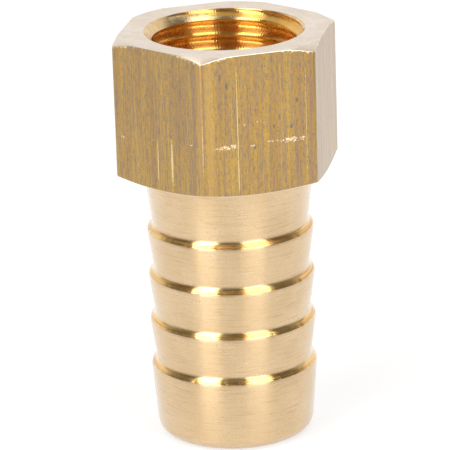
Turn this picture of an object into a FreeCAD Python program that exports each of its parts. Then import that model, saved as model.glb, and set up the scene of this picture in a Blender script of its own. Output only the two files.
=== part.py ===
import FreeCAD, Part
import math
import os

from FreeCAD import Vector

# A female hose nipple, turned in one piece from hexagonal brass bar: a tapped hexagon head
# on a tail with four hose barbs. The tail is pushed into a hose, and a pipe with a G 1/4 thread
# screws into the head.
#
# Lengths are in millimetres and angles in degrees. The origin is the centre of the hose end's
# face, +Z runs along the axis to the mouth of the head, and two flats face +Y and -Y.

# Mouth and tapping bore of the head
tapping_bore_diameter = 12.0
countersink_width = 0.75
countersink_half_angle = 45.0
bore_depth_past_head = 0.5
drill_point_angle = 118.0

# Hexagon head
rim_width = 1.75
head_height = 12.0
head_corner_radius = 0.3
face_circle_past_flats = 0.4
face_chamfer_angle = 25.0
underside_circle_inside_flats = 0.1
underside_chamfer_angle = 16.0

# Hose tail
seat_width = 1.0
tail_wall = 1.58
lead_in_length = 6.1
barb_count = 4
barb_pitch = 4.0
barb_step = 0.47
shoulder_rise = 0.5
barb_root_radius = 0.15
neck_length = 5.15
neck_swell = 0.6
hose_end_edge_radius = 0.95
hose_end_bore_break = 0.25

# How far the cones that chamfer the head run out past its corners
chamfer_overrun = 1.0

# Radii and heights that follow from the sizes above
tapping_bore_radius = tapping_bore_diameter / 2
mouth_radius = tapping_bore_radius + countersink_width
flat_distance = mouth_radius + rim_width
corner_distance = flat_distance / math.cos(math.radians(30))
tail_bore_radius = tapping_bore_radius - seat_width
barb_root = tail_bore_radius + tail_wall
barb_tip = barb_root + barb_step
neck_radius = barb_root + neck_swell
tail_length = lead_in_length + (barb_count - 1) * barb_pitch + neck_length
overall_length = tail_length + head_height


def rise(run, angle):
    """Height that a slope at an angle to the face gains over a radial run."""
    return run * math.tan(math.radians(angle))


def corner_arc(before, corner, after, rounding):
    """Start, middle and end of the arc that rounds one corner of an outline."""
    to_before = (before - corner).normalize()
    to_after = (after - corner).normalize()
    half_angle = to_before.getAngle(to_after) / 2
    bisector = (to_before + to_after).normalize()
    reach = rounding / math.tan(half_angle)
    depth = rounding / math.sin(half_angle) - rounding
    return corner + to_before * reach, corner + bisector * depth, corner + to_after * reach


def turned(outline):
    """Solid turned about Z from an outline of (radius, height, rounding) corners."""
    corners = [Vector(radius, 0, height) for radius, height, rounding in outline]
    spans = []
    for index, (radius, height, rounding) in enumerate(outline):
        corner = corners[index]
        following = corners[(index + 1) % len(corners)]
        if rounding:
            spans.append(corner_arc(corners[index - 1], corner, following, rounding))
        else:
            spans.append((corner, corner, corner))
    edges = []
    for index, (start, middle, end) in enumerate(spans):
        if start != end:
            edges.append(Part.Arc(start, middle, end).toShape())
        next_start = spans[(index + 1) % len(spans)][0]
        edges.append(Part.makeLine(end, next_start))
    section = Part.Face(Part.Wire(edges))
    return section.revolve(Vector(0, 0, 0), Vector(0, 0, 1), 360)


def hose_tail():
    """Barbed tail: each barb widens up to a sharp edge, then steps in so the hose can't slide off."""
    outline = [(0, 0, 0), (barb_root, 0, hose_end_edge_radius)]
    for barb in range(barb_count):
        edge_height = lead_in_length + barb * barb_pitch
        outline.append((barb_tip, edge_height, 0))
        outline.append((barb_root, edge_height + shoulder_rise, barb_root_radius))
    outline.append((neck_radius, tail_length, 0))
    outline.append((0, tail_length, 0))
    return turned(outline)


def hexagon_bar():
    """Length of hexagonal bar that the head is left from, with its drawn corners rounded."""
    corners = []
    for side in range(7):
        angle = math.radians(60 * side)
        corner = Vector(corner_distance * math.cos(angle), corner_distance * math.sin(angle), tail_length)
        corners.append(corner)
    bar = Part.Face(Part.makePolygon(corners)).extrude(Vector(0, 0, head_height))
    upright_edges = [edge for edge in bar.Edges if abs(edge.tangentAt(edge.FirstParameter).z) > 0.5]
    return bar.makeFillet(head_corner_radius, upright_edges)


def hexagon_head():
    """Head with its corners chamfered on the lathe, at the mouth and on the underside."""
    outer_radius = corner_distance + chamfer_overrun
    face_circle = flat_distance + face_circle_past_flats
    underside_circle = flat_distance - underside_circle_inside_flats
    underside_rise = rise(outer_radius - underside_circle, underside_chamfer_angle)
    face_fall = rise(outer_radius - face_circle, face_chamfer_angle)
    envelope = turned([
        (0, tail_length, 0),
        (underside_circle, tail_length, 0),
        (outer_radius, tail_length + underside_rise, 0),
        (outer_radius, overall_length - face_fall, 0),
        (face_circle, overall_length, 0),
        (0, overall_length, 0),
    ])
    return hexagon_bar().common(envelope)


def waterway():
    """Everything bored out: the countersunk tapping bore, its drill point and the bore of the tail."""
    countersink_depth = countersink_width / math.tan(math.radians(countersink_half_angle))
    bore_bottom = tail_length - bore_depth_past_head
    drill_point_height = seat_width / math.tan(math.radians(drill_point_angle / 2))
    return turned([
        (0, 0, 0),
        (tail_bore_radius + hose_end_bore_break, 0, 0),
        (tail_bore_radius, hose_end_bore_break, 0),
        (tail_bore_radius, bore_bottom - drill_point_height, 0),
        (tapping_bore_radius, bore_bottom, 0),
        (tapping_bore_radius, overall_length - countersink_depth, 0),
        (mouth_radius, overall_length, 0),
        (0, overall_length, 0),
    ])


nipple_body = hexagon_head().fuse(hose_tail()).cut(waterway()).removeSplitter()
solid_count = len(nipple_body.Solids)
box = nipple_body.optimalBoundingBox()
print("solids", solid_count, "valid", nipple_body.isValid())
print("box", round(box.XLength, 3), "by", round(box.YLength, 3), "by", round(box.ZLength, 3), "mm")
print("volume", round(nipple_body.Volume, 1), "cubic mm")

os.makedirs("parts", exist_ok=True)
nipple_body.exportStep("parts/nipple_body.step")
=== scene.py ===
# %% [markdown]
# A hose nipple with a female thread, turned in one piece from hexagonal brass bar. A pipe screws
# into the six-sided head and a hose is pushed over the four barbs of the tail. This lesson builds
# the one brass piece at its true size and gives every surface the finish its tool left behind.
#
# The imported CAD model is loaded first. It stays as it is and says where everything goes.

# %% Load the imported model
import math

import bmesh
import bpy
from mathutils import Matrix, Quaternion, Vector, noise


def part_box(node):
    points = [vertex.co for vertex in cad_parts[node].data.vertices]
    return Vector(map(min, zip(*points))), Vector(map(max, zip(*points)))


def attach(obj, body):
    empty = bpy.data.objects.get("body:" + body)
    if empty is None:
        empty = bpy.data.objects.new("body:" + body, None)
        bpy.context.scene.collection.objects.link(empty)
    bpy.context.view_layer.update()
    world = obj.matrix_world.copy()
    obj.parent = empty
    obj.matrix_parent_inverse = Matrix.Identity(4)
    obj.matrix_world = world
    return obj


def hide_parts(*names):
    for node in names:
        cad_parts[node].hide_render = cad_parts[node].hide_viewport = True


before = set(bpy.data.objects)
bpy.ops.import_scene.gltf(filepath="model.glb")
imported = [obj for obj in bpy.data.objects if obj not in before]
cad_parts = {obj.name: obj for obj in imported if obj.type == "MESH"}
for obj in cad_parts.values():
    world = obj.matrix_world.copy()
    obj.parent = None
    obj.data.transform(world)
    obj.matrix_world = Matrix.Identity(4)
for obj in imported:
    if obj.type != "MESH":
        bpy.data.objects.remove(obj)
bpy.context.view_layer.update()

mm_per_metre = 1000

body_low, body_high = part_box("nipple_body")
print("CAD box in mm", [round(mm_per_metre * side, 3) for side in body_high - body_low])

# %% [markdown]
# The brass is drawn as a section, like the profile a turner cuts, and spun about the Z axis.
# Sizes are in millimetres while the shape is being made, because Blender's mesh tools round off
# distances that would be tiny in metres. The last step scales the finished mesh to metres.
#
# Each barb widens to a narrow land, and above its edge the shoulder slopes in to the root at about
# 45 degrees. A flatter shoulder would mirror the underside of the head instead of the lamps, and
# the bright patches of the real one would be gone.

# %% Sizes of the nipple, in millimetres
overall_length = mm_per_metre * (body_high.z - body_low.z)
flat_distance = mm_per_metre * body_high.y
corner_distance = flat_distance / math.cos(math.radians(30))

head_bottom = 23.25
underside_circle = 8.4
underside_angle = math.radians(16)
face_circle = 8.9
face_angle = math.radians(25)
corner_rounding = 0.3

hose_end_break = 1.12
barb_root = 6.58
barb_tip = 7.05
barb_edges = (6.22, 10.22, 14.22, 18.22)
barb_land = 0.3
barb_land_fall = 0.04
barb_edge_break = 0.02
shoulder_rise = 0.4
shoulder_root_break = 0.24
neck_radius = 7.18
neck_corner_break = 0.08

mouth_radius = 6.75
tapping_radius = 6.0
countersink_bottom = overall_length - 0.75
countersink_edge_break = 0.04
tapping_bottom = 22.75
drill_point_bottom = 22.15
drill_point_break = 0.1
tail_bore_radius = 5.0
tail_bore_chamfer = 0.25
bore_edge_break = 0.05
print("hexagon", round(2 * flat_distance, 3), "mm across flats, length", round(overall_length, 3), "mm")

# %% [markdown]
# The section is one closed line of corners, each with the length by which its edge is broken.
# No edge on real brass is perfectly sharp, and these small breaks are what catches the light.
# The corners are rounded on the flat outline, which is far cleaner than rounding a solid.

# %% Draw the section
blank_allowance = 1.0
envelope_radius = corner_distance + blank_allowance
underside_rise = (envelope_radius - underside_circle) * math.tan(underside_angle)
face_fall = (envelope_radius - face_circle) * math.tan(face_angle)

section_corners = [
    (tail_bore_radius + tail_bore_chamfer, 0.0, bore_edge_break),
    (barb_root, 0.0, hose_end_break),
]
for barb_edge in barb_edges:
    section_corners.append((barb_tip, barb_edge - barb_land, 0.0))
    section_corners.append((barb_tip - barb_land_fall, barb_edge, barb_edge_break))
    section_corners.append((barb_root, barb_edge + shoulder_rise, shoulder_root_break))
section_corners += [
    (neck_radius, head_bottom, neck_corner_break),
    (underside_circle, head_bottom, 0.0),
    (envelope_radius, head_bottom + underside_rise, 0.0),
    (envelope_radius, overall_length - face_fall, 0.0),
    (face_circle, overall_length, 0.0),
    (mouth_radius, overall_length, bore_edge_break),
    (tapping_radius, countersink_bottom, countersink_edge_break),
    (tapping_radius, tapping_bottom, 0.0),
    (tail_bore_radius, drill_point_bottom, drill_point_break),
    (tail_bore_radius, tail_bore_chamfer, bore_edge_break),
]


def section_loop(mesh, corners, rounding_steps):
    """Draw the corners as one closed line in the XZ plane and round each by its own break."""
    points = [mesh.verts.new((radius, 0, height)) for radius, height, _ in corners]
    for index, point in enumerate(points):
        mesh.edges.new((points[index - 1], point))
    for break_length in sorted({corner[2] for corner in corners if corner[2]}):
        rounded = [point for point, corner in zip(points, corners) if corner[2] == break_length]
        bmesh.ops.bevel(mesh, geom=rounded, offset=break_length, offset_type="OFFSET",
                        segments=rounding_steps, profile=0.5, affect="VERTICES", material=-1,
                        clamp_overlap=False)


turned = bmesh.new()
section_loop(turned, section_corners, rounding_steps=4)
print("section has", len(turned.verts), "points")

# %% [markdown]
# A full spin merges its last step with the first, so the skin closes on itself. Two hundred or
# so steps keep the outline round even in a close view.

# %% Spin the section
steps_around = 216

bmesh.ops.spin(turned, geom=turned.verts[:] + turned.edges[:], cent=(0, 0, 0), axis=(0, 0, 1),
               dvec=(0, 0, 0), angle=math.tau, steps=steps_around, use_merge=True)
bmesh.ops.recalc_face_normals(turned, faces=turned.faces[:])
print("turned blank has", len(turned.faces), "faces")

# %% [markdown]
# The sharp edges of the barbs are a little ragged, because the tool tears the last of the brass
# away there. Noise pushes each edge point a few hundredths of a millimetre down and inwards.

# %% Ragged barb edges
rag_size = 0.45
rag_fall = 0.05
rag_depth = 0.03
rag_threshold = 0.1
edge_reach = 0.05

edge_points = [point for point in turned.verts
               if point.co.xy.length > barb_tip - barb_land_fall - rag_depth
               and any(abs(point.co.z - barb_edge) < edge_reach for barb_edge in barb_edges)]
for point in edge_points:
    tear = max(0.0, noise.noise(point.co / rag_size) - rag_threshold)
    inwards = Vector((point.co.x, point.co.y, 0)).normalized() * rag_depth
    point.co -= inwards * tear + Vector((0, 0, rag_fall * tear))
print("barb edges have", len(edge_points), "points, and noise has torn some of them")

# %% [markdown]
# A tap cuts the pipe thread into the bore. The same can be done here: a groove section is spun
# upwards along a screw line, and that solid is taken out of the bore with a boolean. It gives the
# true thread start, where the first groove runs out through the countersink.
#
# The thread is a G 1/4: 19 threads to the inch with flanks at 55 degrees. Ridges and grooves are
# both rounded, and the tap has cut so deep that its grooves nearly meet. Its turns stop just short
# of one another, because a boolean needs a cutter that doesn't overlap itself. The lowest turns
# taper inwards, like the lead of a real tap, so the thread runs out softly.

# %% Make the tap
thread_pitch = 25.4 / 19
flank_slope = math.tan(math.radians(55 / 2))
pitch_radius = 6.327
ridge_radius = tapping_radius - 0.003
ridge_round = 0.157
groove_round = 0.519
groove_height_at_back = 35.1
back_angle = math.radians(70.6)
thread_turns = 9
steps_per_turn = 120
turn_gap = 0.003
lead_top = 27.25
lead_taper = 0.28

ridge_middle = thread_pitch / 2 - turn_gap
ridge_side = thread_pitch / 4 + (pitch_radius - ridge_radius) * flank_slope
flank_meeting = pitch_radius + thread_pitch / 4 / flank_slope
groove_corners = [
    (ridge_radius, -ridge_middle, 0.0),
    (ridge_radius, -ridge_side, ridge_round),
    (flank_meeting, 0.0, groove_round),
    (ridge_radius, ridge_side, ridge_round),
    (ridge_radius, ridge_middle, 0.0),
]
tap = bmesh.new()
section_loop(tap, groove_corners, rounding_steps=8)
bmesh.ops.contextual_create(tap, geom=tap.edges[:])
lowest_centre = groove_height_at_back - thread_pitch * (thread_turns - 1 + back_angle / math.tau)
bmesh.ops.translate(tap, verts=tap.verts[:], vec=(0, 0, lowest_centre))
bmesh.ops.spin(tap, geom=tap.verts[:] + tap.edges[:] + tap.faces[:], cent=(0, 0, 0), axis=(0, 0, 1),
               dvec=(0, 0, thread_pitch / steps_per_turn), angle=math.tau * thread_turns,
               steps=steps_per_turn * thread_turns, use_merge=False)
for point in tap.verts:
    if point.co.z < lead_top:
        across = Vector((point.co.x, point.co.y, 0))
        point.co -= across.normalized() * (lead_top - point.co.z) * lead_taper
bmesh.ops.recalc_face_normals(tap, faces=tap.faces[:])
print("tap has", len(tap.faces), "faces and reaches from",
      [round(f(v.co.z for v in tap.verts), 2) for f in (min, max)])

# %% [markdown]
# The cut itself is a boolean modifier on the blank, with the tap as its cutter. The Manifold solver
# is exact enough for thousands of thin thread faces and keeps the skin closed. The result is read
# back into a bmesh, because the flats are cut next, and the blank and the tap are thrown away.

# %% Cut the thread


def as_object(mesh, name):
    """Put a bmesh into a new object at the origin."""
    data = bpy.data.meshes.new(name)
    mesh.to_mesh(data)
    mesh.free()
    made = bpy.data.objects.new(name, data)
    bpy.context.scene.collection.objects.link(made)
    return made


blank = as_object(turned, "turned_blank")
cutter = as_object(tap, "pipe_tap")
cut = blank.modifiers.new("Tap", "BOOLEAN")
cut.operation = "DIFFERENCE"
cut.solver = "MANIFOLD"
cut.object = cutter
bpy.context.view_layer.update()
tapped = bmesh.new()
tapped.from_object(blank, bpy.context.evaluated_depsgraph_get())
for spent in (blank, cutter):
    spent_mesh = spent.data
    bpy.data.objects.remove(spent)
    bpy.data.meshes.remove(spent_mesh)
open_edges = [edge for edge in tapped.edges if not edge.is_manifold]
print("tapped blank has", len(tapped.faces), "faces and", len(open_edges), "open edges")

# %% [markdown]
# The head is left from hexagonal bar. Six flat cuts through the round blank give exactly the
# curved lines where flats and lathe chamfers meet. Each cut is closed with one flat face. The
# boolean leaves slivers narrower than a thousandth of a millimetre, which are merged away.

# %% Cut the six flats
plane_snap = 0.0001
sliver_width = 0.0005

for side in range(6):
    facing = math.radians(30 + 60 * side)
    outward = Vector((math.cos(facing), math.sin(facing), 0))
    flat_cut = bmesh.ops.bisect_plane(tapped, geom=tapped.verts[:] + tapped.edges[:] + tapped.faces[:],
                                      plane_co=outward * flat_distance, plane_no=outward,
                                      dist=plane_snap, clear_outer=True)
    rim = [part for part in flat_cut["geom_cut"] if isinstance(part, bmesh.types.BMEdge)]
    bmesh.ops.edgeloop_fill(tapped, edges=rim)
bmesh.ops.remove_doubles(tapped, verts=tapped.verts[:], dist=sliver_width)
bmesh.ops.dissolve_degenerate(tapped, edges=tapped.edges[:], dist=sliver_width)
open_edges = [edge for edge in tapped.edges if not edge.is_manifold]
print("head has its flats,", len(tapped.faces), "faces and", len(open_edges), "open edges")

# %% [markdown]
# The bar's drawn corners are softly rounded, and every rim where a flat meets a lathe cut gets a
# narrow break. These are the lines that shine on the real head.

# %% Round the corners and break the rims
corner_setback = corner_rounding * math.tan(math.radians(30))
rim_break = 0.06
shortest_corner = 2
corner_reach = 0.05
skin_reach = 0.2
skin_lean = 0.05

uprights = [edge for edge in tapped.edges
            if abs(edge.verts[0].co.z - edge.verts[1].co.z) > shortest_corner
            and min(vert.co.xy.length for vert in edge.verts) > corner_distance - corner_reach]
bmesh.ops.bevel(tapped, geom=uprights, offset=corner_setback, offset_type="OFFSET", segments=4,
                profile=0.5, affect="EDGES", material=-1, clamp_overlap=False)


def is_bar_skin(face):
    """True for the flats and the rounded corners between them."""
    from_axis = face.calc_center_median().xy.length
    return from_axis > flat_distance - skin_reach and abs(face.normal.z) < skin_lean


rims = [edge for edge in tapped.edges
        if len(edge.link_faces) == 2
        and is_bar_skin(edge.link_faces[0]) != is_bar_skin(edge.link_faces[1])]
bmesh.ops.bevel(tapped, geom=rims, offset=rim_break, offset_type="OFFSET", segments=2,
                profile=0.5, affect="EDGES", material=-1, clamp_overlap=True)
print("broke", len(rims), "rim edges and rounded", len(uprights), "corners")

# %% [markdown]
# Each surface keeps the finish its tool left: the drawn flats, the faced end, the turned tail,
# the burnished barb shoulders and the bored and tapped inside. The faces are sorted by where
# they are and which way they look, so the sorting still holds if a size is changed.

# %% Sort the faces by finish
finishes = ("drawn_brass", "faced_brass", "countersunk_brass", "turned_brass", "shoulder_brass",
            "bored_brass")
height_slack = 0.001
mouth_band = 0.02
cone_slack = 0.03
inward_lean = -0.2
drill_point_band = 1
shoulder_lean = 0.3


def finish_of(face):
    """Name of the finish a face has on the real piece."""
    middle = face.calc_center_median()
    radius, height = middle.xy.length, middle.z
    outward = face.normal.xy.dot(middle.xy) / radius
    off_cone = abs(radius - height + countersink_bottom - tapping_radius)
    if is_bar_skin(face):
        return "drawn_brass"
    if height > head_bottom - height_slack and radius > barb_tip:
        return "faced_brass"
    if height > overall_length - mouth_band:
        return "faced_brass"
    if height > countersink_bottom and off_cone < cone_slack:
        return "countersunk_brass"
    if outward < inward_lean or (radius < tapping_radius and height > tapping_bottom - drill_point_band):
        return "bored_brass"
    if radius < mouth_radius and height > head_bottom:
        return "bored_brass"
    if face.normal.z > shoulder_lean:
        return "shoulder_brass"
    return "turned_brass"


# %% [markdown]
# The six flats and the wide faces are shaded flat, and all that is round is shaded smooth. Edges
# sharper than the crease angle stay crisp, such as the edges of the barbs.

# %% Mark the faces and creases
crease_angle = math.radians(21)
largest_rounding_face = 2

counts = dict.fromkeys(finishes, 0)
for face in tapped.faces:
    named = finish_of(face)
    face.material_index = finishes.index(named)
    face.smooth = face.calc_area() < largest_rounding_face or named not in ("drawn_brass", "faced_brass")
    counts[named] += 1
for edge in tapped.edges:
    edge.smooth = edge.is_manifold and edge.calc_face_angle(0) < crease_angle
print("faces by finish", counts)

# %% [markdown]
# The finished mesh becomes one object in metres, at the origin. It rides on the only body there is
# and stands in for the CAD solid of the whole nipple.

# %% Make the piece
nipple = as_object(tapped, "hose_nipple")
nipple.data.transform(Matrix.Scale(1 / mm_per_metre, 4))
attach(nipple, "root")
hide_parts("nipple_body")
print("piece", nipple.name, "measures in mm", [round(mm_per_metre * side, 3) for side in nipple.dimensions])

# %% [markdown]
# The finishes are built from shader nodes. A few short helpers keep them readable. One adds a node
# and feeds its inputs, one does arithmetic, and one turns a value into a mask. Two mix colours by a
# mask, one raises or lowers a number by a mask, and the last reads a colour as a screen shows it.

# %% Node helpers


def feed(tree, socket, value):
    """Link a socket to another one, or set it to a plain value."""
    if isinstance(value, bpy.types.NodeSocket):
        tree.links.new(value, socket)
    else:
        socket.default_value = value


def add(tree, kind, feeds=None, **settings):
    """Add a shader node, set its properties and give its inputs values or links."""
    node = tree.nodes.new("ShaderNode" + kind)
    for name, value in settings.items():
        setattr(node, name, value)
    for socket, value in (feeds or {}).items():
        feed(tree, node.inputs[socket], value)
    return node


def calculate(tree, operation, first, second=0.0, third=0.0):
    """Result of one piece of arithmetic on values or sockets."""
    return add(tree, "Math", {0: first, 1: second, 2: third}, operation=operation).outputs[0]


def mask_from(tree, value, zero_at, one_at, most=1.0):
    """Mask that rises smoothly from 0 to its most as a value goes from one level to another."""
    feeds = {"Value": value, "From Min": zero_at, "From Max": one_at, "To Min": 0.0, "To Max": most}
    return add(tree, "MapRange", feeds, interpolation_type="SMOOTHSTEP").outputs["Result"]


def blend(tree, share, under, over):
    """Colour between two colours, by a mask."""
    factor, first, second, result = 0, 6, 7, 2
    feeds = {factor: share, first: under, second: over}
    return add(tree, "Mix", feeds, data_type="RGBA").outputs[result]


def lay_over(tree, colour, mask, over, strength):
    """Colour with another one laid over it where a mask is, as strongly as is said."""
    return blend(tree, calculate(tree, "MULTIPLY", mask, strength), colour, over)


def varied(tree, mask, base, change):
    """Number that starts from a base and changes by so much where the mask is full."""
    return calculate(tree, "MULTIPLY_ADD", mask, change, base)


def shade(red, green, blue):
    """Scene-linear colour of an sRGB screen colour given from 0 to 255."""
    return tuple(((c / 255 + 0.055) / 1.055) ** 2.4 if c > 10 else c / 255 / 12.92
                 for c in (red, green, blue)) + (1.0,)


# %% [markdown]
# An effect that several finishes share is a node group with named sockets, made once. All of them
# read object coordinates, so the marks stay on the brass however the part is turned or lit. Most
# of them start from noise, which stays near its middle, so a mask stretches what lies between a
# low and a high level.

# %% Helpers for groups
noise_low, noise_high, noise_middle = 0.3, 0.7, 0.5


def new_group(name, inputs, output):
    """Shader group with named inputs, each with its socket kind and value, and one output."""
    group = bpy.data.node_groups.new(name, "ShaderNodeTree")
    for label, kind, value in inputs:
        socket = group.interface.new_socket(name=label, in_out="INPUT", socket_type="NodeSocket" + kind)
        if value is not None:
            socket.default_value = value
    group.interface.new_socket(name=output, in_out="OUTPUT", socket_type="NodeSocketFloat")
    return group, group.nodes.new("NodeGroupInput").outputs


def end_group(group, result):
    """Lead the result to the group's output."""
    group.links.new(result, group.nodes.new("NodeGroupOutput").inputs[0])
    print("group", group.name, "has", len(group.nodes), "nodes")


def use(tree, group, feeds):
    """Value that a group gives in a material."""
    node = tree.nodes.new("ShaderNodeGroup")
    node.node_tree = group
    for socket, value in feeds.items():
        feed(tree, node.inputs[socket], value)
    return node.outputs[0]


# %% [markdown]
# A lathe tool leaves fine rings round the axis. Noise gives them when its steps are tiny along the
# profile and wide around it. The path adds height and radius, so a face gets rings as a tail does.

# %% Turning lines group
radius_share = 1.6

turning_lines, given = new_group("turning_lines", [
    ("Vector", "Vector", None), ("Spacing", "Float", 0.00012), ("Arc Length", "Float", 0.006)], "Lines")
place = add(turning_lines, "SeparateXYZ", {0: given["Vector"]}).outputs
around = add(turning_lines, "CombineXYZ", {0: place[0], 1: place[1]}).outputs[0]
radius = add(turning_lines, "VectorMath", {0: around}, operation="LENGTH").outputs["Value"]
profile_path = calculate(turning_lines, "MULTIPLY_ADD", radius, radius_share, place[2])
line_place = add(turning_lines, "CombineXYZ", {
    0: calculate(turning_lines, "DIVIDE", place[0], given["Arc Length"]),
    1: calculate(turning_lines, "DIVIDE", place[1], given["Arc Length"]),
    2: calculate(turning_lines, "DIVIDE", profile_path, given["Spacing"])}).outputs[0]
rings = add(turning_lines, "TexNoise",
            {"Vector": line_place, "Scale": 1.0, "Detail": 3.0, "Roughness": 0.6})
end_group(turning_lines, mask_from(turning_lines, rings.outputs["Fac"], noise_low, noise_high))

# %% [markdown]
# Drawing pulls the bar through a die, so its skin has streaks along its length. The same noise
# serves for broad stains and for hair lines, with a width and a length of its own each time.

# %% Drawn streaks group
drawn_streaks, given = new_group("drawn_streaks", [
    ("Vector", "Vector", None), ("Width", "Float", 0.0003), ("Length", "Float", 0.01),
    ("Detail", "Float", 3.0)], "Streaks")
place = add(drawn_streaks, "SeparateXYZ", {0: given["Vector"]}).outputs
streak_place = add(drawn_streaks, "CombineXYZ", {
    0: calculate(drawn_streaks, "DIVIDE", place[0], given["Width"]),
    1: calculate(drawn_streaks, "DIVIDE", place[1], given["Width"]),
    2: calculate(drawn_streaks, "DIVIDE", place[2], given["Length"])}).outputs[0]
streaks = add(drawn_streaks, "TexNoise",
              {"Vector": streak_place, "Scale": 1.0, "Detail": given["Detail"], "Roughness": 0.6})
end_group(drawn_streaks, mask_from(drawn_streaks, streaks.outputs["Fac"], noise_low, noise_high))

# %% [markdown]
# Bare brass is never quite even. A speckle of a chosen size gives the tarnish dots, the fine grain
# of the metal and the pits.

# %% Speckle group
speckle, given = new_group("speckle", [
    ("Vector", "Vector", None), ("Size", "Float", 0.0002), ("Zero At", "Float", 0.3),
    ("One At", "Float", 0.7)], "Speckle")
speckle_place = add(speckle, "VectorMath", {0: given["Vector"], "Scale": mm_per_metre}, operation="SCALE")
speckle_scale = calculate(speckle, "DIVIDE", 1 / mm_per_metre, given["Size"])
dots = add(speckle, "TexNoise", {"Vector": speckle_place.outputs[0], "Scale": speckle_scale,
                                 "Detail": 2.0, "Roughness": 0.55})
end_group(speckle, mask_from(speckle, dots.outputs["Fac"], given["Zero At"], given["One At"]))

# %% [markdown]
# A boring tool and a tap hum while they cut and leave tiny upright waves side by side. They are
# counted round the axis, and noise makes them stronger in some places than in others.

# %% Chatter group
chatter, given = new_group("chatter", [
    ("Vector", "Vector", None), ("Waves", "Float", 140.0), ("Patch Size", "Float", 0.001)], "Chatter")
place = add(chatter, "SeparateXYZ", {0: given["Vector"]}).outputs
angle = calculate(chatter, "ARCTAN2", place[1], place[0])
wave = calculate(chatter, "SINE", calculate(chatter, "MULTIPLY", angle, given["Waves"]))
patch_scale = calculate(chatter, "DIVIDE", 1.0, given["Patch Size"])
patches = add(chatter, "TexNoise", {"Vector": given["Vector"], "Scale": patch_scale, "Detail": 1.0})
patches = mask_from(chatter, patches.outputs["Fac"], noise_low, noise_high)
end_group(chatter, calculate(chatter, "MULTIPLY", wave, patches))

# %% [markdown]
# One mark is a spot of a given length and width at a given place: a nick, a scratch, a stain, a pale band
# of painted highlight or a brown band of painted shade. Noise frays its outline, and it reaches only a
# little way into the metal, so that it never shows on another side.

# %% Mark group
mark_depth = 0.0004
mark_edge, mark_core = 1.0, 0.55

mark, given = new_group("mark", [
    ("Vector", "Vector", None), ("Place", "Vector", (0, 0, 0)), ("Along", "Vector", (0, 0, 1)),
    ("Across", "Vector", (1, 0, 0)), ("Half Length", "Float", 0.001), ("Half Width", "Float", 0.0001),
    ("Fray", "Float", 0.5), ("Fray Size", "Float", 0.0002)], "Mask")
away = add(mark, "VectorMath", {0: given["Vector"], 1: given["Place"]}, operation="SUBTRACT").outputs[0]
inward = add(mark, "VectorMath", {0: given["Along"], 1: given["Across"]},
             operation="CROSS_PRODUCT").outputs[0]
parts = []
for direction, half in ((given["Along"], given["Half Length"]), (given["Across"], given["Half Width"]),
                        (inward, mark_depth)):
    part = add(mark, "VectorMath", {0: away, 1: direction}, operation="DOT_PRODUCT").outputs["Value"]
    parts.append(calculate(mark, "DIVIDE", part, half))
parts = add(mark, "CombineXYZ", dict(enumerate(parts))).outputs[0]
from_middle = add(mark, "VectorMath", {0: parts}, operation="LENGTH").outputs["Value"]
fray_scale = calculate(mark, "DIVIDE", 1.0, given["Fray Size"])
fray = add(mark, "TexNoise", {"Vector": given["Vector"], "Scale": fray_scale, "Detail": 2.0}).outputs["Fac"]
fray = calculate(mark, "SUBTRACT", fray, noise_middle)
frayed = calculate(mark, "MULTIPLY_ADD", fray, given["Fray"], from_middle)
end_group(mark, mask_from(mark, frayed, mark_edge, mark_core))

# %% [markdown]
# The rims where the lathe cut into the hexagon are painted bright, partly as wear and partly as a painted
# highlight of their burrs. The rim follows a cone, so the height below that cone tells how far a point of a
# flat is from its rim.

# %% Rim distance group
rim_distance, given = new_group("rim_distance", [
    ("Vector", "Vector", None), ("Circle", "Float", face_circle / mm_per_metre),
    ("End Height", "Float", overall_length / mm_per_metre), ("Slope", "Float", math.tan(face_angle))],
    "Distance")
place = add(rim_distance, "SeparateXYZ", {0: given["Vector"]}).outputs
around = add(rim_distance, "CombineXYZ", {0: place[0], 1: place[1]}).outputs[0]
radius = add(rim_distance, "VectorMath", {0: around}, operation="LENGTH").outputs["Value"]
past_circle = calculate(rim_distance, "SUBTRACT", radius, given["Circle"])
cone_fall = calculate(rim_distance, "MULTIPLY", past_circle, given["Slope"])
cone_height = calculate(rim_distance, "SUBTRACT", given["End Height"], cone_fall)
end_group(rim_distance, calculate(rim_distance, "SUBTRACT", cone_height, place[2]))

# %% [markdown]
# Every finish is bare metal, so they all start alike. Turning leaves grooves too fine to model,
# and they stretch each highlight across them: the anisotropy says how strongly, and a quarter
# turn lays the stretch along the axis. A thin coat stands for the film of oil and the oxide, which
# mirror without tinting what they show. Each finish ends with a bump as deep as the tool's marks.

# %% Helpers for finishes
along_axis = 0.25


def start_finish(name, anisotropy=0.0, turn=0.0, coat=0.0, coat_roughness=0.2):
    """New brass material: its tree, its shader and the object coordinates."""
    material = bpy.data.materials.new(name)
    material.use_nodes = True
    tree = material.node_tree
    shader = tree.nodes["Principled BSDF"]
    settings = {"Metallic": 1.0, "Anisotropic": anisotropy, "Anisotropic Rotation": turn,
                "Coat Weight": coat, "Coat Roughness": coat_roughness}
    for socket, value in settings.items():
        shader.inputs[socket].default_value = value
    nipple.data.materials.append(material)
    return tree, shader, add(tree, "TexCoord").outputs["Object"]


def finish(tree, shader, colour, roughness, height, depth):
    """Lead the colour, the roughness and a bump of a given depth to the shader."""
    tree.links.new(colour, shader.inputs["Base Color"])
    tree.links.new(roughness, shader.inputs["Roughness"])
    bump = add(tree, "Bump", {"Height": height, "Distance": depth, "Strength": 1.0})
    tree.links.new(bump.outputs["Normal"], shader.inputs["Normal"])
    print("finish", nipple.data.materials[-1].name, "has", len(tree.nodes), "nodes")


# %% [markdown]
# The six flats still have the bar's drawn skin, and the marks on them have places. A gripper left
# a row of coppery nicks across the middle of one flat, and the bar was scratched along its length.
# They are listed by the direction their flat faces, how far to the right they lie, their height,
# half their length and half their width in millimetres, and how frayed their outline is.

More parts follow.
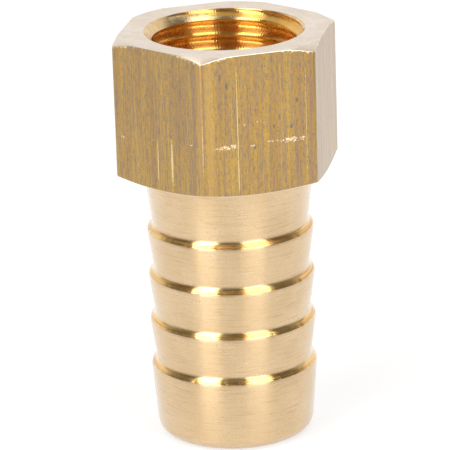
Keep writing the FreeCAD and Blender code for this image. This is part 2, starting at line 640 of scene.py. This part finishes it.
# %% Marks on the flats
front_flat, left_flat = -90, -150

# The line at 4.86 on the left flat lies on the rounded corner and is a painted highlight; the others are
# scratches.
scratches_and_corner_highlight = [
    (front_flat, -1.89, 29.4, 6.2, 0.045, 0.9), (front_flat, -1.90, 25.2, 2.0, 0.06, 0.6),
    (front_flat, 4.05, 29.5, 5.6, 0.02, 2.2),
    (left_flat, -0.11, 25.75, 2.55, 0.06, 0.4), (left_flat, 1.45, 26.0, 2.6, 0.13, 1.2),
    (left_flat, 4.86, 27.5, 3.0, 0.03, 1.4),
]
nicks = [
    (front_flat, -2.75, 27.62, 1.05, 0.2, 2.6), (front_flat, -2.35, 27.7, 0.4, 0.17, 1.6),
    (front_flat, -0.65, 27.53, 0.26, 0.1, 1.2), (front_flat, 1.1, 27.72, 0.6, 0.06, 2.4),
    (front_flat, 2.9, 27.66, 1.05, 0.24, 2.9), (front_flat, -0.22, 29.49, 0.07, 0.1, 0.5),
    (front_flat, -1.3, 29.37, 0.08, 0.06, 0.5), (front_flat, -2.12, 26.53, 0.07, 0.07, 0.5),
    (left_flat, -4.0, 27.26, 0.22, 0.13, 1.8), (left_flat, 0.72, 29.27, 0.09, 0.09, 0.8),
    (left_flat, 3.63, 27.87, 0.14, 0.1, 0.8), (left_flat, -0.53, 27.58, 0.1, 0.06, 0.8),
]
dark_spots = [
    (front_flat, 3.27, 30.97, 0.24, 0.13, 0.8), (front_flat, 2.74, 28.78, 0.22, 0.13, 0.9),
    (front_flat, -2.74, 32.84, 0.41, 0.14, 1.4), (front_flat, -3.31, 33.58, 0.35, 0.11, 1.4),
    (front_flat, -1.76, 29.76, 0.34, 0.08, 1.2), (front_flat, 1.23, 28.97, 0.27, 0.11, 1.2),
    (front_flat, -0.6, 25.44, 0.3, 0.08, 1), (front_flat, -0.46, 27.35, 0.22, 0.11, 1.2),
]
# Brown bands are a painted shade beside the two front corners, and pale bands are a painted highlight on
# the rounded front-left corner.
painted_corner_shade = [(left_flat, 3.98, 29.0, 9.0, 0.17, 0.5), (front_flat, 4.45, 29.0, 9.0, 0.1, 0.6)]
painted_corner_highlights = [(front_flat, -4.3, 29.0, 9.0, 0.5, 0.7), (left_flat, 4.62, 29.0, 9.0, 0.34, 0.5)]
print("listed", sum(map(len, (scratches_and_corner_highlight, nicks, dark_spots, painted_corner_shade, painted_corner_highlights))), "marks")


def union_of_marks(tree, coordinates, marks, lengthwise=True, fray_size=0.0002):
    """One mask for a list of marks, which run along the bar or across it."""
    union = 0.0
    for facing, across, height, half_length, half_width, fraying in marks:
        angle = math.radians(facing)
        outward = Vector((math.cos(angle), math.sin(angle), 0))
        sideways = Vector((-math.sin(angle), math.cos(angle), 0))
        place = (outward * flat_distance + sideways * across) / mm_per_metre
        place.z = height / mm_per_metre
        upright = Vector((0, 0, 1))
        along, crosswise = (upright, sideways) if lengthwise else (sideways, upright)
        one = use(tree, mark, {
            "Vector": coordinates, "Place": place, "Along": along, "Across": crosswise,
            "Half Length": half_length / mm_per_metre, "Half Width": half_width / mm_per_metre,
            "Fray": fraying, "Fray Size": fray_size})
        union = calculate(tree, "MAXIMUM", one, union)
    return union


# %% [markdown]
# The skin is dull yellow brass under a thin brown and violet oxide that lies in streaks, with small
# dark spots where it is thicker. Three widths of streaks lie over one another, because a single
# noise would look like wood.

# %% Drawn brass: streaks and spots
skin_yellow = shade(197, 157, 62)
skin_brown = shade(178, 136, 59)
oxide_violet = shade(152, 124, 106)
spot_grey = shade(100, 98, 96)

tree, shader, at = start_finish("drawn_brass", coat=1.0, coat_roughness=0.3)
broad = use(tree, drawn_streaks, {"Vector": at, "Width": 0.0011, "Length": 0.02, "Detail": 3.0})
narrow = use(tree, drawn_streaks, {"Vector": at, "Width": 0.00018, "Length": 0.006, "Detail": 4.0})
hair = use(tree, drawn_streaks, {"Vector": at, "Width": 0.0001, "Length": 0.0007, "Detail": 2.0})
dots = use(tree, speckle, {"Vector": at, "Size": 0.00013, "Zero At": 0.53, "One At": 0.66})
colour = blend(tree, broad, skin_yellow, skin_brown)
oxide = mask_from(tree, narrow, zero_at=0.25, one_at=0.95, most=0.56)
colour = blend(tree, oxide, colour, oxide_violet)
hair_lines = mask_from(tree, hair, zero_at=0.55, one_at=0.95, most=0.5)
colour = blend(tree, hair_lines, colour, spot_grey)
colour = lay_over(tree, colour, dots, spot_grey, strength=0.42)

# %% [markdown]
# The listed marks come next. Spots only stain the skin. The pale bands are a painted highlight on the
# rounded front-left corner, and the brown bands are a painted shade beside the two front corners. Scratches
# and nicks go through the skin, so bright metal shows: cream in the scratches, and coppery pink where the
# gripper bit, broken up by a coarse speckle as its teeth were. The cream line on the left flat's corner is
# no scratch but a painted highlight.

# %% Drawn brass: bands, scratches and nicks
painted_highlight_gold = shade(208, 166, 90)
painted_shade_brown = shade(150, 120, 100)
worn_brass_and_highlight_cream = shade(252, 228, 164)
copper_pink = shade(255, 222, 190)

# The pale bands paint a highlight and the brown bands paint shade along the corners.
colour = lay_over(tree, colour, union_of_marks(tree, at, painted_corner_highlights), painted_highlight_gold, strength=0.4)
colour = lay_over(tree, colour, union_of_marks(tree, at, painted_corner_shade), painted_shade_brown, strength=0.7)
colour = lay_over(tree, colour, union_of_marks(tree, at, dark_spots), spot_grey, strength=0.8)
# Cream scratches, and a painted highlight along the left corner.
scratch_and_highlight_mask = union_of_marks(tree, at, scratches_and_corner_highlight)
colour = lay_over(tree, colour, scratch_and_highlight_mask, worn_brass_and_highlight_cream, strength=0.6)
bumped = union_of_marks(tree, at, nicks, lengthwise=False, fray_size=0.00016)
broken = use(tree, speckle, {"Vector": at, "Size": 0.00022, "Zero At": 0.4, "One At": 0.56})
bumped = calculate(tree, "MULTIPLY", bumped, broken)
colour = blend(tree, bumped, colour, copper_pink)

# %% [markdown]
# The rim round the mouth is worn through to bright brass in a ragged line, and the same bright paint is a
# painted highlight of the burrs there. The bright places are smoother than the skin round them and lie a
# little deeper.

# %% Drawn brass: worn rims and gloss
mouth_rim = use(tree, rim_distance, {"Vector": at})
rim_speckle = use(tree, speckle, {"Vector": at, "Size": 0.0003})
ragged = varied(tree, rim_speckle, base=mouth_rim, change=0.00032)
# Worn bright brass along the rim, with a painted highlight of its burrs.
worn_rim_and_burr_highlight = mask_from(tree, ragged, zero_at=0.00027, one_at=0.00016)
colour = lay_over(tree, colour, worn_rim_and_burr_highlight, worn_brass_and_highlight_cream, strength=0.8)
bright = calculate(tree, "MAXIMUM", calculate(tree, "MAXIMUM", bumped, scratch_and_highlight_mask), worn_rim_and_burr_highlight)
roughness = varied(tree, mask_from(tree, narrow, 0.0, 1.0), base=0.4, change=0.12)
roughness = varied(tree, bright, base=roughness, change=-0.15)
height = calculate(tree, "SUBTRACT", calculate(tree, "ADD", hair, narrow), bright)
finish(tree, shader, colour, roughness, height, depth=0.000004)

# %% [markdown]
# The mouth's face and the chamfers were cut across by the lathe tool. They are pale, almost white
# where they are seen at a low angle, with fine rings.

# %% Faced brass of the mouth and the chamfers
faced_pale = shade(238, 223, 205)
faced_gold = shade(226, 206, 180)
pit_brown = shade(170, 140, 104)

tree, shader, at = start_finish("faced_brass", 0.5, along_axis, coat=0.6, coat_roughness=0.3)
lines = use(tree, turning_lines, {"Vector": at, "Spacing": 0.00014, "Arc Length": 0.005})
cloud = use(tree, speckle, {"Vector": at, "Size": 0.0016})
pits = use(tree, speckle, {"Vector": at, "Size": 0.00022, "Zero At": 0.6, "One At": 0.72})
colour = lay_over(tree, faced_pale, cloud, faced_gold, strength=0.6)
colour = lay_over(tree, colour, lines, pit_brown, strength=0.12)
colour = lay_over(tree, colour, pits, pit_brown, strength=0.35)
roughness = varied(tree, cloud, base=0.34, change=0.06)
pitted = calculate(tree, "MULTIPLY", pits, -1.0)
height = varied(tree, lines, base=pitted, change=0.6)
finish(tree, shader, colour, roughness, height, depth=0.000003)

# %% [markdown]
# The countersink was cut with a sharper tool than the face, so it mirrors more clearly. Its colour is
# painted deeper gold, a painted reflection of the brass across the mouth.

# %% Countersunk brass
countersunk_pale = shade(238, 205, 152)
# A deeper gold painted in as a reflection of the brass across the mouth.
countersunk_gold_painted_reflection = shade(222, 178, 112)

tree, shader, at = start_finish("countersunk_brass", 0.5, along_axis, coat=0.2, coat_roughness=0.12)
lines = use(tree, turning_lines, {"Vector": at, "Spacing": 0.0001, "Arc Length": 0.0012})
cloud = use(tree, speckle, {"Vector": at, "Size": 0.0008})
colour = lay_over(tree, countersunk_pale, cloud, countersunk_gold_painted_reflection, strength=0.6)
colour = lay_over(tree, colour, lines, pit_brown, strength=0.2)
roughness = varied(tree, lines, base=0.19, change=0.05)
finish(tree, shader, colour, roughness, lines, depth=0.000003)

# %% [markdown]
# The tail is turned bright. Its rings spread every highlight up and down, so the lamps become
# upright columns of light. A fine speckle shows where the brass has started to dull, and short
# dashes show where the tool tore it.

# %% Turned brass of the tail
turned_light = shade(226, 197, 153)
turned_deep = shade(218, 185, 135)
stain_brown = shade(176, 136, 92)

tree, shader, at = start_finish("turned_brass", 0.9, along_axis, coat=1.0, coat_roughness=0.2)
lines = use(tree, turning_lines, {"Vector": at, "Spacing": 0.00011, "Arc Length": 0.007})
torn = use(tree, turning_lines, {"Vector": at, "Spacing": 0.00007, "Arc Length": 0.0024})
cloud = use(tree, speckle, {"Vector": at, "Size": 0.003})
grain = use(tree, speckle, {"Vector": at, "Size": 0.00012})
dots = use(tree, speckle, {"Vector": at, "Size": 0.00018, "Zero At": 0.6, "One At": 0.72})
dashes = mask_from(tree, torn, zero_at=0.7, one_at=1.0, most=0.4)
colour = lay_over(tree, turned_light, cloud, turned_deep, strength=0.5)
colour = lay_over(tree, colour, lines, stain_brown, strength=0.08)
colour = lay_over(tree, colour, grain, stain_brown, strength=0.12)
colour = blend(tree, dashes, colour, stain_brown)
colour = lay_over(tree, colour, dots, stain_brown, strength=0.35)
roughness = varied(tree, cloud, base=0.27, change=0.03)
height = calculate(tree, "SUBTRACT", calculate(tree, "ADD", lines, grain), dashes)
finish(tree, shader, colour, roughness, height, depth=0.0000008)

# %% [markdown]
# The shoulders of the barbs were left by the side of the tool, which burnishes. They mirror the
# lamps sharply, with a few rings across the band.

# %% Burnished brass of the shoulders
burnished_gold = shade(246, 206, 132)
burnished_deep = shade(220, 160, 84)

tree, shader, at = start_finish("shoulder_brass", 0.85, along_axis, coat=0.6, coat_roughness=0.1)
lines = use(tree, turning_lines, {"Vector": at, "Spacing": 0.000045, "Arc Length": 0.006})
cloud = use(tree, speckle, {"Vector": at, "Size": 0.0005})
deep_rings = mask_from(tree, lines, zero_at=0.3, one_at=0.75, most=0.9)
colour = blend(tree, deep_rings, burnished_gold, burnished_deep)
roughness = varied(tree, cloud, base=0.2, change=0.06)
finish(tree, shader, colour, roughness, lines, depth=0.000003)

# %% [markdown]
# Inside, the tap and the drill leave bright metal. Light bounces between the walls and turns deeper gold
# each time, which is why the bore looks orange; its base colour is also painted deeper orange, a painted
# reflection of those bounces.

# %% Bored and tapped brass
# Painted deeper orange, a painted reflection of the light bouncing in the bore.
bored_gold_painted_bounce = shade(248, 198, 106)
bored_deep_painted_bounce = shade(220, 154, 70)

tree, shader, at = start_finish("bored_brass", 1.0, along_axis)
lines = use(tree, turning_lines, {"Vector": at, "Spacing": 0.00015, "Arc Length": 0.003})
cloud = use(tree, speckle, {"Vector": at, "Size": 0.0008})
hum = use(tree, chatter, {"Vector": at, "Waves": 171.0})
colour = lay_over(tree, bored_gold_painted_bounce, lines, bored_deep_painted_bounce, strength=0.3)
roughness = varied(tree, cloud, base=0.26, change=0.03)
height = varied(tree, lines, base=hum, change=0.2)
finish(tree, shader, colour, roughness, height, depth=0.0000018)

# %% [markdown]
# The camera looks down on the nipple from about 18 degrees above, through a long lens, and is
# rolled by less than 2 degrees. The angles were found from the ellipses of the mouth and barbs and
# the corners of the hexagon.

# %% Camera
camera_turn = math.radians(-18.0)
camera_tilt = 0.31816
camera_roll = math.radians(-1.828)
camera_distance = 0.30361
aim_across = -0.000456
aim_height = 0.018069
lens = 287.24
sensor_width = 36
nearest_seen = 0.01

looking = Vector((-math.sin(camera_turn) * math.cos(camera_tilt),
                  math.cos(camera_turn) * math.cos(camera_tilt), -math.sin(camera_tilt)))
rightwards = Vector((math.cos(camera_turn), math.sin(camera_turn), 0))
aim = rightwards * aim_across + Vector((0, 0, aim_height))
camera_data = bpy.data.cameras.new("camera")
camera_data.sensor_width = sensor_width
camera_data.lens = lens
camera_data.clip_start = nearest_seen
camera = bpy.data.objects.new("camera", camera_data)
camera.location = aim - looking * camera_distance
camera.rotation_mode = "QUATERNION"
camera.rotation_quaternion = looking.to_track_quat("-Z", "Y") @ Quaternion((0, 0, 1), camera_roll)
bpy.context.scene.collection.objects.link(camera)
bpy.context.scene.camera = camera
print("camera stands at", [round(part, 3) for part in camera.location], "m")

# %% [markdown]
# The nipple stands on a white table. The table is a wide disc that takes a soft shadow, and it
# gives off a little light of its own to the camera and to mirroring metal, so that it looks white
# without more light on the brass. Far from the lamps the camera sees a little more of that glow,
# or the table would turn grey towards its edge.

# %% White table
table_radius = 3.0
table_colour = 0.4
table_roughness = 0.9
table_glow = 0.62
far_glow = 0.19
far_start, far_end = 0.3, 1.2

table_mesh = bmesh.new()
bmesh.ops.create_circle(table_mesh, cap_ends=True, segments=96, radius=table_radius)
table = as_object(table_mesh, "studio_table")
table_material = bpy.data.materials.new("studio_table")
table_material.use_nodes = True
table_tree = table_material.node_tree
table_shader = table_tree.nodes["Principled BSDF"]
table_shader.inputs["Base Color"].default_value = (table_colour, table_colour, table_colour, 1)
table_shader.inputs["Roughness"].default_value = table_roughness
table_shader.inputs["Specular IOR Level"].default_value = 0.0
table_shader.inputs["Emission Color"].default_value = (1, 1, 1, 1)
ray = add(table_tree, "LightPath").outputs
seen = calculate(table_tree, "MAXIMUM", ray["Is Camera Ray"], ray["Is Glossy Ray"])
seen = calculate(table_tree, "MAXIMUM", seen, ray["Is Transmission Ray"])
away = add(table_tree, "TexCoord").outputs["Object"]
away = add(table_tree, "VectorMath", {0: away}, operation="LENGTH").outputs["Value"]
lift = mask_from(table_tree, away, far_start, far_end, far_glow)
lift = calculate(table_tree, "MULTIPLY", lift, ray["Is Camera Ray"])
glow = calculate(table_tree, "MULTIPLY_ADD", seen, table_glow, lift)
table_tree.links.new(glow, table_shader.inputs["Emission Strength"])
table.data.materials.append(table_material)
print("table is", 2 * table_radius, "m across")

# %% [markdown]
# Two long softboxes stand in front, to the left and right of the camera, and lean back over the
# nipple. The dark gap between them shows in the middle of every barb's shoulder, and their edges
# set where the bright patches end.

# %% Softboxes
softbox_lean = math.radians(31)
softbox_distance = 0.7
softbox_length = 2.1 * softbox_distance
softbox_slide = 0.6 * softbox_distance

upwards = Vector((0, 0, 1))
backwards = Vector((looking.x, looking.y, 0)).normalized()
long_axis = backwards * math.sin(softbox_lean) + upwards * math.cos(softbox_lean)
front_axis = upwards * math.sin(softbox_lean) - backwards * math.cos(softbox_lean)


def softbox(name, inner_turn, outer_turn, radiance):
    """An even rectangle of light that faces the nipple, between two angles from the camera's side."""
    turn = math.radians((inner_turn + outer_turn) / 2)
    spread = math.radians(abs(outer_turn - inner_turn) / 2)
    facing = rightwards * math.sin(turn) + front_axis * math.cos(turn)
    width = 2 * softbox_distance * math.tan(spread)
    lamp_data = bpy.data.lights.new(name, "AREA")
    lamp_data.shape = "RECTANGLE"
    lamp_data.size, lamp_data.size_y = width, softbox_length
    lamp_data.energy = radiance * math.pi * width * softbox_length
    lamp = bpy.data.objects.new(name, lamp_data)
    lamp.location = aim + facing * softbox_distance + long_axis * softbox_slide
    lamp.rotation_mode = "QUATERNION"
    axes = Matrix((long_axis.cross(facing), long_axis, facing)).transposed()
    lamp.rotation_quaternion = axes.to_quaternion()
    lamp.visible_camera = False
    bpy.context.scene.collection.objects.link(lamp)
    print(name, "is", round(width, 3), "by", round(softbox_length, 3), "m")


softbox("right_softbox", 15.2, 46.3, radiance=3.05)
softbox("left_softbox", -19.1, -47.6, radiance=4.05)

# %% [markdown]
# Around them the studio is dim. A white backdrop rises behind the nipple, and white boards stand
# low at its sides. The camera sees plain white, while metal mirrors the room and the boards.

# %% World
room_level = 0.17
backdrop_level = 0.96
backdrop_start, backdrop_full = 0.0, 0.15
backdrop_narrowing = 0.5
board_level = 0.45
board_start, board_full = -0.25, 0.45
board_top = 0.34
board_fade = 0.24

world = bpy.data.worlds.new("studio")
bpy.context.scene.world = world
world.use_nodes = True
room = world.node_tree
room.nodes.clear()
direction = add(room, "TexCoord").outputs["Generated"]
behind = add(room, "VectorMath", {0: direction, 1: backwards}, operation="DOT_PRODUCT").outputs["Value"]
aside = add(room, "VectorMath", {0: direction, 1: rightwards}, operation="DOT_PRODUCT").outputs["Value"]
above = add(room, "SeparateXYZ", {0: direction}).outputs[2]
narrowing = calculate(room, "MULTIPLY", calculate(room, "ABSOLUTE", aside), backdrop_narrowing)
backdrop = calculate(room, "SUBTRACT", behind, narrowing)
backdrop = mask_from(room, backdrop, backdrop_start, backdrop_full)
low = mask_from(room, above, board_top + board_fade, board_top)
boards = calculate(room, "MULTIPLY", low, mask_from(room, behind, board_start, board_full))
boards = calculate(room, "MULTIPLY", boards, board_level)
white_share = calculate(room, "MAXIMUM", backdrop, boards)
level = varied(room, white_share, base=room_level, change=backdrop_level - room_level)
dim_room = add(room, "Background", {"Color": (1, 1, 1, 1), "Strength": level})
white = add(room, "Background", {"Color": (1, 1, 1, 1), "Strength": 1.0})
ray = add(room, "LightPath").outputs
lit = add(room, "MixShader", {0: ray["Is Camera Ray"], 1: dim_room.outputs[0], 2: white.outputs[0]})
add(room, "OutputWorld", {"Surface": lit.outputs[0]})
print("room", room_level, "boards", board_level, "backdrop", backdrop_level)

# %% [markdown]
# Light goes round in the bore from wall to wall. Four mirror bounces give the orange depth of the
# photograph, and more of them would fill the dark gap between the bright columns. The Standard
# view shows each colour about as it is written, without a film look.

# %% Light bounces and view
bpy.context.scene.cycles.max_bounces = 16
bpy.context.scene.cycles.glossy_bounces = 4
bpy.context.scene.view_settings.view_transform = "Standard"
